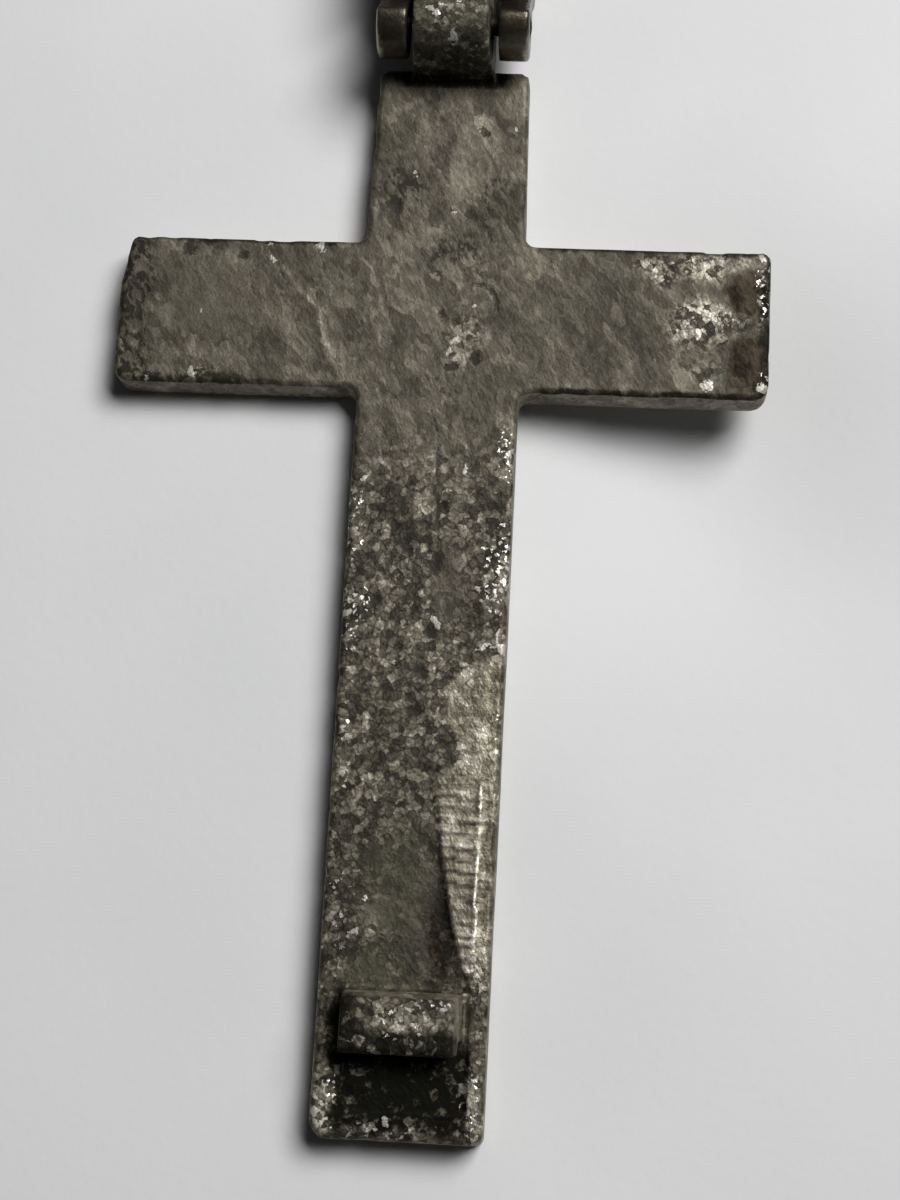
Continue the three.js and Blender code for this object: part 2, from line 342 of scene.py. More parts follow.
# Where bright specks cluster; the patch along the catch's top edge is a painted highlight
SPECKLED = [
    ((-5.4, -15), (1.1, 4.5), 0.6), ((-5.2, -22), (1.5, 3.8), 0.75), ((-5.0, -31), (1.0, 7.0), 0.35),
    ((-5.0, -43), (1.3, 5.0), 0.28), ((5.2, -10.2), (1.2, 3.2), 0.75), ((5.0, -18.5), (1.8, 5.2), 0.75),
    ((5.6, -34), (0.4, 9.0), 0.4), ((22.8, 2.9), (0.8, 2.6), 1.0), ((22.9, -3.9), (0.6, 1.2), 0.4),
    ((4.9, -54.6), (0.9, 3.4), 0.6), ((-4.9, -54.6), (1.0, 3.0), 0.6), ((-1.5, -56.6), (4.0, 0.6), 0.55),
    ((1.6, -48.4), (2.2, 0.8), 1.0), ((-0.2, -49.6), (3.0, 1.6), 0.3), ((-1.0, 21.6), (2.4, 2.0), 0.4),
]
FLAKED = [
    ((15.4, 4.0), (2.4, 1.8), 1.0), ((18.3, 4.3), (3.6, 1.6), 0.9), ((21.0, 4.6), (1.8, 1.0), 0.5),
    ((18.5, -0.1), (3.6, 2.9), 1.0), ((21.4, -0.1), (1.4, 0.7), 0.8), ((18.8, -3.4), (2.0, 1.7), 0.45),
    ((23.0, 1.6), (0.7, 3.4), 0.8), ((1.7, -1.6), (2.4, 4.2), 0.5), ((2.0, 3.9), (1.8, 2.2), 0.3),
    ((-5.0, -55.2), (1.2, 3.0), 0.8), ((4.9, -54.0), (1.0, 3.6), 0.45), ((-0.8, -56.6), (3.0, 0.6), 0.4),
    ((0.3, -49.3), (3.0, 1.7), 0.6), ((4.7, -46.5), (1.2, 3.2), 0.7), ((-17.2, -4.8), (2.0, 0.6), 0.6),
    ((-21.6, -4.8), (2.0, 0.8), 0.5), ((-0.3, 21.4), (2.6, 1.6), 0.65),
]
STAINED = [
    ((22.0, -2.9), (2.8, 3.6), 1.0), ((21.7, 2.4), (2.4, 2.7), 1.0), ((3.0, -21.0), (1.6, 4.0), 0.42),
    ((2.4, -43.5), (1.9, 6.0), 0.5), ((-13.5, 1.5), (3.5, 3.0), 0.25), ((-1.4, 14.8), (1.0, 1.6), 0.3),
]
GREENED = [
    ((-2.2, -46.2), (3.0, 2.2), 0.9), ((-0.4, -47.3), (2.2, 0.8), 0.8), ((4.1, -49.5), (0.9, 2.8), 0.6),
    ((-5.0, 13.6), (0.9, 1.7), 0.7), ((4.2, 8.4), (1.3, 1.6), 0.7), ((-4.0, 16.0), (1.8, 1.8), 0.35),
    ((-0.8, -40.5), (3.6, 6.5), 0.65),
]
CALM = [((-17.0, 0.8), (4.6, 4.2), 1.0), ((8.5, 0.5), (5.5, 4.0), 0.5)]
WARMED = [
    ((0.2, 12.5), (3.4, 5.5), 1.0), ((-2.5, 6.5), (2.5, 2.0), 0.6), ((-12.5, 1.5), (3.5, 3.0), 0.7),
    ((2.4, -18.5), (2.2, 5.5), 0.9), ((2.0, -43.5), (2.4, 6.5), 0.8),
]
CRACKED = [((-3.2, 9.5), (2.4, 2.2), 0.8), ((3.6, 8.6), (2.2, 2.6), 0.6), ((0.8, 5.2), (2.4, 1.6), 0.6)]
# Lighter and darker patches in the metal's own tone. The dark band along the lug's foot, the patch left of
# the catch and the broad darkening over the right arm are painted shade.
SHADES = [
    ((-2.1, 13.9), (1.4, 2.2), 0.35), ((1.7, 14.1), (2.3, 2.6), 0.45), ((-3.7, 9.6), (1.5, 1.2), 0.35),
    ((4.6, 14.0), (0.8, 1.6), 0.3), ((1.8, 9.5), (2.2, 2.4), 0.25), ((1.9, -1.4), (2.6, 4.4), 0.3),
    ((-0.1, 13.0), (0.6, 3.0), -0.45), ((-5.0, 13.6), (1.0, 1.9), -0.5), ((5.1, 9.8), (0.6, 1.1), -0.8),
    ((4.0, 8.3), (1.4, 1.1), -0.4), ((0.0, 17.3), (5.6, 1.0), -0.35), ((-3.4, -2.0), (0.9, 1.2), -0.3),
    ((3.7, -0.9), (0.5, 1.8), -0.35), ((-4.6, -21), (1.8, 8.0), -0.35), ((4.6, -17), (1.8, 8.5), -0.4),
    ((-1.8, -42.3), (1.9, 1.8), 0.45), ((-4.6, -36), (1.6, 10.0), -0.1), ((5.4, -38), (0.9, 8.0), -0.5),
    ((12.0, -0.5), (7.0, 8.0), -0.45), ((0.0, -38), (5.0, 12.0), -0.1), ((4.8, 11.6), (0.9, 1.4), 0.5),
    ((-0.5, -11.5), (4.0, 4.5), 0.25),
    ((-16.5, 4.9), (3.5, 0.7), -0.3), ((-4.2, -49.6), (0.9, 3.2), -0.3), ((2.0, -43.5), (2.0, 6.5), -0.3),
]
SMOOTHED = [((1.4, -20), (1.7, 5.0), 0.75), ((1.0, -43), (2.4, 7.5), 0.7), ((-1.8, -42.3), (1.8, 1.6), 0.8)]


def patches(u, v, table):
    """The strongest of several soft patches at each point, and the weakest where strengths are negative."""
    each = [strength * spot(u, v, centre, reach, 0.25) for centre, reach, strength in table]
    each.append(np.zeros(len(u)))
    return np.maximum.reduce(each) + np.minimum.reduce(each)


def dots(u, v, table):
    """1 in the middle of the nearest dot, 0 at twice its radius."""
    near = np.maximum.reduce([1 - np.hypot(u - x, v - y) / (2 * radius) for x, y, radius in table])
    return np.maximum(near, 0)


class Ground:
    """Places on the lid in its own frame, noise that roughens borders there, and the lid's main areas."""

    def __init__(self, places, normals):
        self.places = places
        self.u, self.v, self.w = (places - CROSSING).T
        self.ragged = layered(places, 1.5, 11)
        self.fine = layered(places, 0.7, 12)
        self.jagged = (self.u + 0.5 * self.ragged, self.v + 0.5 * self.fine)
        self.torn = (self.u + 0.3 * noise(places, 0.55, 46), self.v + 0.3 * noise(places, 0.55, 47))
        self.depth = inset(self.u, self.v)
        self.up = step(normals[:, 2], 0.2, 0.6)
        self.side = step(normals[:, 2], 0.5, 0.2)
        self.face = self.up * step(self.w, *FACE_LEVEL)
        self.floor = self.face * step(self.w, *FLOOR_LEVEL)
        self.lug = step(self.v, *LUG_START) * step(self.w, *LUG_LEVEL)
        right_of_ledge = self.u - np.interp(-self.v, *zip(*LEDGE)) + 0.15 * self.ragged
        below_top_ridge = step(self.v + 0.5 * self.ragged, *STRIP_START)
        self.strip = step(right_of_ledge, *STRIP_SIDE) * below_top_ridge * self.floor


def filed_masks(at):
    """The bare strip right of the ledge, the stepped file marks across it and its thin ridge."""
    bare = at.strip * step(at.v + at.fine, *BARE_END)
    stepped = bare * step(at.v + 0.6 * at.fine, *STEPS_START) * step(at.u, *STEPS_SIDE)
    wave = at.v / STEP_PITCH + 0.5 * noise(at.places, (5, 2.2, 1), 33) + 0.08 * at.u
    clear = 0.35 + 0.65 * step(noise(at.places, (2.4, 1.3, 3), 35), -0.5, 0.2)
    clear *= 0.5 + 0.5 * step(at.v, *STEPS_DEEPEN)
    ridge = step(at.v, *RIDGE_START) * step(at.v, *RIDGE_END)
    ridge *= step(noise(at.places, (9, 0.7, 9), 36), -0.3, 0.1)
    return {
        "bare": bare,
        "stepped": stepped,
        # The sawtooth of the file steps: it shapes their relief, and in the colour it is painted light on
        # each crest and painted shade on each drop
        "tread": 0.5 + stepped * clear * (np.ceil(wave) - wave - 0.5),
        "ridge": ridge * at.floor,
        "ridge_side": 0.5 + (at.u - np.interp(-at.v, *zip(*RIDGE))),
    }


def skin_masks(at, bare, stepped):
    """How coarse, flaked, speckled, cracked, calm, warm, green and shaded the skin is."""
    coarse = step(at.v + 2 * at.ragged, *FLAKES_START) * at.face
    coarse *= (1 - 0.6 * bare - 0.2 * stepped) * (1 - patches(at.u, at.v, SMOOTHED))
    flaked = patches(*at.jagged, FLAKED)
    jagged_u, jagged_v = at.jagged
    low_cracks = step(jagged_v, *LOW_CRACKS) * step(at.u, *LOW_CRACKS_START)
    arm_cracks = np.maximum(step(jagged_u, *ARM_CRACKS), low_cracks)
    return {
        "coarse": np.maximum.reduce([coarse, at.face * flaked, 0.8 * at.lug]),
        "flake": flaked * at.up,
        "rim": patches(*at.jagged, SPECKLED) * at.up,
        "cracks": np.maximum(arm_cracks, patches(*at.jagged, CRACKED)) * at.face,
        "calm": patches(*at.jagged, CALM) * at.face,
        "warm": patches(*at.jagged, WARMED) * at.floor,
        "green": np.maximum(patches(*at.jagged, GREENED) * at.floor, 0.5 * at.lug),
        "shade": 0.5 + 0.5 * patches(*at.jagged, SHADES) * at.floor,
        "side": at.side,
    }


def mark_masks(at):
    """The pits, scratches and chips, the nicked edges and the round mark at the crossing."""
    mark_u, mark_v, mark_radius = ROUND_MARK
    angle = np.arctan2(at.v - mark_v, at.u - mark_u)
    ring = step(np.abs(np.hypot(at.u - mark_u, at.v - mark_v) - mark_radius), 0.42, 0.08)
    ring *= 0.3 + 0.7 * step(np.abs(angle - 0.7), 1.3, 0.7)
    wander = at.u + 0.12 * noise(at.places, 1.5, 42)
    broken = step(noise(at.places, 1.1, 44), -0.5, 0.3)
    scored = np.maximum.reduce([
        line(wander, at.v, DARK_SCRATCH, 0.32) * (0.35 + 0.65 * broken),
        line(wander, at.v, CRACK, 0.3) * (0.5 + 0.5 * broken),
        0.9 * ring,
    ])
    scratched = np.maximum(line(wander, at.v, LIGHT_SCRATCH, 0.35), line(wander, at.v, SHORT_SCRATCH, 0.35))
    top_ridge = np.maximum(line(*at.torn, TOP_RIDGE, 0.35), line(*at.torn, TOP_RIDGE_BRANCH, 0.3))
    return {
        "pit": np.maximum(dots(*at.torn, PITS), 0.8 * scored) * at.floor,
        "scratch": scratched * at.floor,
        "chip": np.maximum(dots(*at.torn, CHIPS), 0.9 * top_ridge) * at.up,
        "edge": step(at.depth, *EDGE_DEPTH) * step(at.w, *EDGE_LEVEL) * step(at.w, *FLOOR_LEVEL),
    }


def foot_dirt_and_shade(at):
    """Darkening in the scoop and over the left part of the catch, painted shade on the catch's front and left
    of it, and painted shadows below the catch and left of the ledge.
    """
    u, v, ragged = at.u, at.v, at.ragged
    torn_u, torn_v = at.torn
    from_sides = LIMB_WIDTH / 2 - SCOOP_RIM - np.abs(torn_u + 0.3 * ragged)
    from_foot = torn_v + 0.5 * ragged + FOOT_REACH
    scoop = step(v + 0.3 * ragged, *SCOOP_START) * step(np.minimum(from_sides, from_foot), *SCOOP_DEPTH)
    # Painted shade on the catch's front, which faces away from the window, and darkening over its left part
    catch = step(at.w, *CATCH_LEVEL) * step(v, *CATCH_START)
    catch *= np.maximum(step(v + 0.2 * ragged, *CATCH_FRONT), step(u + 0.4 * ragged, *CATCH_LEFT))
    # Painted shadow of the catch on the scoop below it
    below_catch = step(v, *CATCH_SHADE_START) * step(v + 0.4 * ragged, *CATCH_SHADE_END)
    # Painted shade left of the catch
    left_of_catch = spot(u + 0.2 * ragged, v, (-4.3, -50.4), (0.8, 3.4), 0.6) * step(at.w, 1.2, 0.6)
    # Painted shadow that the ledge casts on the hollow left of it
    along_ledge = spot(u + 0.3 * ragged, v, (2.8, -41.5), (1.3, 8.0), 0.3) * (1 - at.strip) * at.floor
    return [
        scoop * at.floor,
        0.85 * catch,
        below_catch * step(np.abs(u), *CATCH_SHADE_SIDES),
        0.9 * left_of_catch,
        0.7 * along_ledge,
    ]


def hinge_painted_shade(at):
    """Painted shade round the foot of the lug and on its front, and thinner painted shade over all of it but
    its right side, which faces the window.
    """
    foot = step(at.v + 0.15 * at.fine, *LUG_FOOT_START) * step(at.w, *LUG_FOOT_LEVEL)
    foot *= step(np.abs(at.u), *LUG_FOOT_SIDES)
    front = step(at.v, *LUG_FRONT_START) * step(at.w, *LUG_FRONT_TOP) * step(at.w, *LUG_FRONT_LEVEL)
    thin = step(at.v + 0.5 * at.fine, *LUG_SHADE_START) * step(at.u, *LUG_SHADE_SIDE)
    return [0.95 * foot, 0.42 * front, 0.25 * thin]


def arm_edge_darkening(at):
    """Darkening along the edges of the arms and at the right arm's end."""
    edges = step(at.depth + 0.3 * at.fine, *ARM_EDGE) * step(np.abs(at.u), *ARMS_START) * at.floor
    edges *= np.maximum(step(at.u + 2 * at.ragged, *RIGHT_ARM_START), step(at.v, *ARM_TOP))
    end = step(at.u + 0.25 * at.fine, *ARM_END) * step(at.v, *reversed(ARM_TOP)) * at.floor
    return [0.8 * edges, 0.85 * end]


def dirt_and_shade_masks(at):
    """The brown stains, the dull hollow above the catch, and the dark dirt and painted shade."""
    torn_u, torn_v = at.torn
    stain = patches(torn_u + 0.5 * at.ragged, torn_v + 0.6 * at.ragged, STAINED)
    hollow = step(at.v + 0.6 * at.ragged, *HOLLOW_START) * step(at.depth + 0.2 * at.ragged, *HOLLOW_DEPTH)
    dark_dirt_and_shade = np.maximum.reduce([*foot_dirt_and_shade(at), *hinge_painted_shade(at), *arm_edge_darkening(at)])
    return {
        "stain": stain * at.floor * (1 - at.strip),
        "hollow": hollow * at.floor * (1 - at.strip),
        "dark_dirt_and_shade": dark_dirt_and_shade * step(at.w, *BODY_LEVEL),
    }


def lid_masks(at):
    """Where each kind of surface lies on the lid, as shares from 0 to 1."""
    filed = filed_masks(at)
    return filed | skin_masks(at, filed["bare"], filed["stepped"]) | mark_masks(at) | dirt_and_shade_masks(at)


def relief(at, masks):
    """How far each point of the lid stands out from its even shape, in millimetres."""
    places = at.places
    coarse = masks["coarse"]
    skin = (SKIN_HEIGHT + COARSE_HEIGHT * coarse) * layered(places, 1.0, 24, 3)
    tread = TREAD_HEIGHT * masks["tread"] + TREAD_GRAIN * noise(places, (1.5, 0.5, 1), 34)
    height = SWELL_HEIGHT * layered(places, 5.0, 21, 2)
    height += skin * (1 - 0.7 * masks["side"])
    height -= HOLE_DEPTH * coarse * step(noise(places, 0.9, 31), 0.45, 0.8)
    height += masks["stepped"] * tread
    height += RIDGE_HEIGHT * masks["ridge"] * step(np.abs(masks["ridge_side"] - 0.5), *RIDGE_SIDE)
    height -= GROOVE_DEPTH * masks["bare"] * step(at.u, *GROOVE_SIDE)
    height += FLAKE_HEIGHT * masks["flake"] * step(layered(places, 0.9, 37), -0.1, 0.35)
    height -= CRACK_DEPTH * masks["cracks"] * step(np.abs(layered(places, 1.6, 41, 2)), 0.12, 0.0)
    height -= PIT_DEPTH * step(masks["pit"] + 0.15 * noise(places, 0.4, 38), 0.35, 0.7)
    height += CHIP_HEIGHT * step(masks["chip"], 0.3, 0.7)
    height -= NICK_DEPTH * masks["edge"] * step(noise(places, 0.9, 39), 0.1, 0.6)
    height += SCRATCH_HEIGHT * masks["scratch"]
    return height


def raised(places, normals, height):
    """The places moved out along their normals, but never below the table."""
    moved = places + normals * height[:, None]
    moved[:, 2] = np.maximum(moved[:, 2], 0)
    return moved


def make_lid():
    """The lid, dense enough for its pits, scratches, flakes and file marks."""
    piece, places, normals = dense("lid", LID_VOXEL)
    ground = Ground(places, normals)
    masks = lid_masks(ground)
    settle(piece, raised(places, normals, relief(ground, masks)), masks)
    piece.name = "cross_lid"
    return piece


def make_case():
    """The hollow case with its ears, smooth outside and dull within."""
    piece, places, normals = dense("case", CASE_VOXEL)
    _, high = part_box("case")
    x, y, z = places.T
    from_top = high.z / MM - z
    depth = inset(x, high.y / MM - FOOT_REACH - y)
    inside = step(depth, *INSIDE_DEPTH) * step(z, *INSIDE_LEVEL) * step(y, *INSIDE_START)
    rim = step(from_top, *RIM_BELOW_TOP) * step(y, *RIM_START)
    ears = step(y, *EARS_END)
    # Painted highlights: a lit sliver down the left ear's outer side and a light bevel on the right ear; the
    # worn mask carries them
    left_ear_highlight = step(x, *LEFT_EAR_SIDE) * step(z, *LEFT_EAR_LEVEL)
    right_ear_highlight = spot(x, y, *RIGHT_EAR_PATCH) * step(z, *RIGHT_EAR_LEVEL)
    height = SWELL_HEIGHT * layered(places, 4.0, 51, 2)
    height += (CASE_SKIN_HEIGHT + INSIDE_HEIGHT * inside) * layered(places, 1.2, 52, 3)
    height -= RIM_WEAR_DEPTH * rim * step(noise(places, 0.8, 53), 0.4, 0.8)
    height *= 1 - 0.8 * ears
    masks = {"inside": inside, "rim": rim, "ears": ears, "worn": ears * np.maximum(left_ear_highlight, right_ear_highlight)}
    settle(piece, raised(places, normals, height), masks)
    piece.name = "cross_case"
    return piece


def make_pin():
    """The hinge pin with its ends peened over."""
    low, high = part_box("hinge_pin")
    radius = (high.z - low.z) / 2
    middle = (high.z + low.z) / 2
    half = high.x
    tip = half + PIN_BULGE * MM
    end = [(0.5 * radius, half + PIN_SHOULDER * MM), (radius, half), (radius, half - PIN_BAND * MM)]
    form = bmesh.new()
    rings = []
    for r, x in end + [(r, -x) for r, x in reversed(end)]:
        ring = []
        for side in range(PIN_SIDES):
            angle = 2 * math.pi * side / PIN_SIDES
            ring.append(form.verts.new((x, r * math.cos(angle), middle + r * math.sin(angle))))
        rings.append(ring)
    for first, second in itertools.pairwise(rings):
        for side in range(PIN_SIDES):
            after = (side + 1) % PIN_SIDES
            form.faces.new((first[side], first[after], second[after], second[side]))
    for ring, x in ((rings[0], tip), (rings[-1], -tip)):
        peak = form.verts.new((x, 0, middle))
        for side in range(PIN_SIDES):
            form.faces.new((ring[side], ring[(side + 1) % PIN_SIDES], peak))
    bmesh.ops.recalc_face_normals(form, faces=form.faces)
    mesh = bpy.data.meshes.new("pin")
    form.to_mesh(mesh)
    form.free()
    mesh.shade_smooth()
    piece = bpy.data.objects.new("peened_pin", mesh)
    bpy.context.scene.collection.objects.link(piece)
    return piece


class Nodes:
    """A short way to write a material's nodes. A value is a number, a colour or another node's socket."""

    def __init__(self, name):
        self.material = bpy.data.materials.new(name)
        self.material.use_nodes = True
        self.tree = self.material.node_tree
        self.shader = self.tree.nodes["Principled BSDF"]

    def put(self, socket, value):
        """Sets a socket to a number or a colour, or links another node's socket to it."""
        if isinstance(value, bpy.types.NodeSocket):
            self.tree.links.new(value, socket)
        elif isinstance(value, tuple) and len(value) == 3 and socket.type == "RGBA":
            socket.default_value = (*value, 1)
        else:
            socket.default_value = value

    def mask(self, name):
        """One of the shares that settle leaves on a mesh."""
        node = self.tree.nodes.new("ShaderNodeAttribute")
        node.attribute_name = name
        return node.outputs["Fac"]

    def place(self, turn=0.0, stretch=(1, 1, 1)):
        """The object's own millimetres, turned about Z and squeezed, so that a pattern is stretched."""
        coordinates = self.tree.nodes.new("ShaderNodeTexCoord")
        turned = self.tree.nodes.new("ShaderNodeMapping")
        turned.inputs["Rotation"].default_value = (0, 0, turn)
        turned.inputs["Scale"].default_value = (1 / MM, 1 / MM, 1 / MM)
        squeezed = self.tree.nodes.new("ShaderNodeMapping")
        squeezed.inputs["Scale"].default_value = tuple(1 / s for s in stretch)
        self.tree.links.new(coordinates.outputs["Object"], turned.inputs["Vector"])
        self.tree.links.new(turned.outputs["Vector"], squeezed.inputs["Vector"])
        return squeezed.outputs["Vector"]

    def noise(self, place, size, detail=2.0):
        """Soft noise from 0 to 1 with bumps about size across."""
        node = self.tree.nodes.new("ShaderNodeTexNoise")
        self.put(node.inputs["Vector"], place)
        node.inputs["Scale"].default_value = 1 / size
        node.inputs["Detail"].default_value = detail
        return node.outputs["Fac"]

    def cells(self, place, size):
        """Two random values for each cell of a pattern of uneven cells."""
        node = self.tree.nodes.new("ShaderNodeTexVoronoi")
        self.put(node.inputs["Vector"], place)
        node.inputs["Scale"].default_value = 1 / size
        parts = self.tree.nodes.new("ShaderNodeSeparateColor")
        self.tree.links.new(node.outputs["Color"], parts.inputs["Color"])
        return parts.outputs["Red"], parts.outputs["Green"]

    def seams(self, place, size, width):
        """1 on the borders between the cells of the same pattern, 0 at a width from them."""
        node = self.tree.nodes.new("ShaderNodeTexVoronoi")
        node.feature = "DISTANCE_TO_EDGE"
        self.put(node.inputs["Vector"], place)
        node.inputs["Scale"].default_value = 1 / size
        return self.span(node.outputs["Distance"], width, width / 4)

    def warped(self, place, amount, size):
        """A place pushed about by noise, so that cells and stripes lose their straight edges."""
        noise = self.tree.nodes.new("ShaderNodeTexNoise")
        self.put(noise.inputs["Vector"], place)
        noise.inputs["Scale"].default_value = 1 / size
        pushed = self.tree.nodes.new("ShaderNodeVectorMath")
        pushed.operation = "MULTIPLY_ADD"
        self.tree.links.new(noise.outputs["Color"], pushed.inputs[0])
        pushed.inputs[1].default_value = (amount, amount, amount)
        self.put(pushed.inputs[2], place)
        return pushed.outputs["Vector"]

    def math(self, operation, *values):
        """One sum of the named kind."""
        node = self.tree.nodes.new("ShaderNodeMath")
        node.operation = operation
        for socket, value in zip(node.inputs, values):
            self.put(socket, value)
        return node.outputs[0]

    def centred(self, value):
        """A pattern from 0 to 1 moved to lie around 0."""
        return self.math("SUBTRACT", value, 0.5)

    def total(self, start, *terms):
        """start plus each term times its weight."""
        for value, weight in terms:
            start = self.math("MULTIPLY_ADD", value, weight, start)
        return start

    def product(self, first, *others):
        """All the values, multiplied."""
        for other in others:
            first = self.math("MULTIPLY", first, other)
        return first

    def highest(self, first, *others):
        """The highest of the values."""
        for other in others:
            first = self.math("MAXIMUM", first, other)
        return first

    def span(self, value, low, high, to_low=0.0, to_high=1.0):
        """to_low where value is low, to_high where it is high, and smooth between. low may be above high."""
        node = self.tree.nodes.new("ShaderNodeMapRange")
        node.interpolation_type = "SMOOTHSTEP"
        for name, number in (("From Min", low), ("From Max", high), ("To Min", to_low), ("To Max", to_high)):
            node.inputs[name].default_value = number
        self.put(node.inputs["Value"], value)
        return node.outputs["Result"]

    def blend(self, share, first, second):
        """first where share is 0, second where it is 1, as colours."""
        node = self.tree.nodes.new("ShaderNodeMix")
        node.data_type = "RGBA"
        self.put(node.inputs["Factor"], share)
        self.put(node.inputs[6], first)
        self.put(node.inputs[7], second)
        return node.outputs[2]

    def ramp(self, value, stops):
        """The colour that a row of colours has at a value."""
        node = self.tree.nodes.new("ShaderNodeValToRGB")
        elements = node.color_ramp.elements
        while len(elements) < len(stops):
            elements.new(0.5)
        for element, (position, colour) in zip(elements, stops):
            element.position = position
            element.color = (*colour, 1)
        self.put(node.inputs["Fac"], value)
        return node.outputs["Color"]

    def bump(self, height, strength, distance_mm):
        """Tilts the shader's normals as a relief of this height would."""
        node = self.tree.nodes.new("ShaderNodeBump")
        node.inputs["Strength"].default_value = strength
        node.inputs["Distance"].default_value = distance_mm * MM
        self.put(node.inputs["Height"], height)
        self.tree.links.new(node.outputs["Normal"], self.shader.inputs["Normal"])

    def finish(self, values):
        """The material, with the values put into its shader."""
        for name, value in values.items():
            self.put(self.shader.inputs[name], value)
        return self.material


def lid_patterns(mix):
    """The patterns in the lid's skin. The glint, seams and cracks are shares, and the others lie around 0."""
    plain = mix.place()
    rough = mix.warped(plain, 0.45, 0.4)
    leaning = mix.warped(mix.place(turn=-DAB_LEAN, stretch=(0.6, 1.3, 0.8)), 0.6, 0.8)
    dab, _ = mix.cells(leaning, DAB)
    flake, _ = mix.cells(rough, FLAKE)
    crumb, glint = mix.cells(rough, CRUMB)
    plate, _ = mix.cells(mix.warped(leaning, 1.2, 1.2), PLATE)
    return SimpleNamespace(
        dab=mix.centred(dab),
        flake=mix.centred(flake),
        crumb=mix.centred(crumb),
        plate=mix.centred(plate),
        strokes=mix.centred(mix.noise(leaning, STROKE)),
        grains=mix.centred(mix.noise(plain, GRAIN)),
        clouds=mix.centred(mix.noise(plain, CLOUD)),
        filed=mix.centred(mix.noise(mix.place(stretch=(2.4, 0.3, 1.0)), 1.0)),
        glint=glint,
        seams=mix.seams(rough, FLAKE, 0.15),
        cracks=mix.seams(mix.warped(rough, 0.9, 0.9), CRACK_SPACING, 0.3),
    )


def lid_tone(mix, skin, flaked):
    """How light the lid's skin is, from the patterns and the masks."""
    coarse = mix.mask("coarse")
    bare = mix.mask("bare")
    side = mix.mask("side")
    dabbed = mix.total(
        0.0,
        (skin.dab, mix.span(coarse, 0, 1, 0.19, 0.08)),
        (skin.strokes, mix.span(side, 0, 1, 0.34, 0.12)),
        (skin.plate, 0.24),
    )
    filed = mix.product(skin.filed, mix.total(0.0, (bare, 0.4), (mix.mask("stepped"), 0.2)))
    veins = mix.product(skin.seams, mix.mask("rim"), mix.span(skin.clouds, -0.1, 0.1))
    cracks = mix.product(skin.cracks, mix.span(skin.strokes, 0.12, -0.08, 0.1, 1.0), mix.mask("cracks"))
    return mix.total(
        0.43,
        (dabbed, mix.span(mix.mask("calm"), 0, 1, 1.0, 0.4)),
        (skin.flake, mix.span(coarse, 0, 1, 0.05, 0.55)),
        (skin.crumb, mix.span(coarse, 0, 1, 0.05, 0.32)),
        (mix.product(skin.seams, coarse), -0.18),
        (skin.grains, 0.2),
        (skin.clouds, 0.4),
        (filed, 1.0),
        # Painted light on the crests of the file steps and painted shade on their drops, which face away from
        # the window
        (mix.centred(mix.mask("tread")), 0.38),
        (bare, 0.22),
        (mix.mask("hollow"), -0.16),
        (mix.mask("scratch"), 0.22),
        # Painted light: the walls are lighter, for the light that the paper bounces onto them
        (side, 0.17),
        (mix.centred(mix.mask("shade")), 0.55),
        (flaked, 0.3),
        (veins, 0.3),
        (cracks, -0.6),
    )


def lid_stain(mix, skin, flaked):
    """How strongly the brown stains cover the skin. The bright flakes stay clear of them."""
    mottled = mix.total(
        mix.mask("stain"),
        (skin.clouds, 0.6),
        (skin.strokes, 0.7),
        (skin.plate, 0.3),
        (skin.flake, 0.25),
    )
    return mix.product(mix.span(mottled, 0.25, 0.65, 0.0, 0.9), mix.total(1.0, (flaked, -0.9)))


def lid_brightness(mix, skin):
    """Bright specks, the thin ridge and single chips: partly clean metal, partly painted glints."""
    chance = mix.total(0.5, (mix.mask("rim"), -0.34))
    specks = mix.product(
        mix.span(mix.math("SUBTRACT", skin.crumb, chance), 0.0, 0.03),
        mix.span(skin.glint, 0.0, 1.0, 0.25, 1.0),
    )
    off_ridge = mix.math("ABSOLUTE", mix.total(mix.centred(mix.mask("ridge_side")), (skin.grains, 0.2)))
    ridge = mix.product(mix.mask("ridge"), mix.span(off_ridge, 0.09, 0.05, 0.0, 0.65))
    chips = mix.total(mix.mask("chip"), (skin.grains, 0.5), (skin.crumb, 0.3))
    return mix.highest(specks, ridge, mix.span(chips, 0.5, 0.58, 0.0, 0.48))


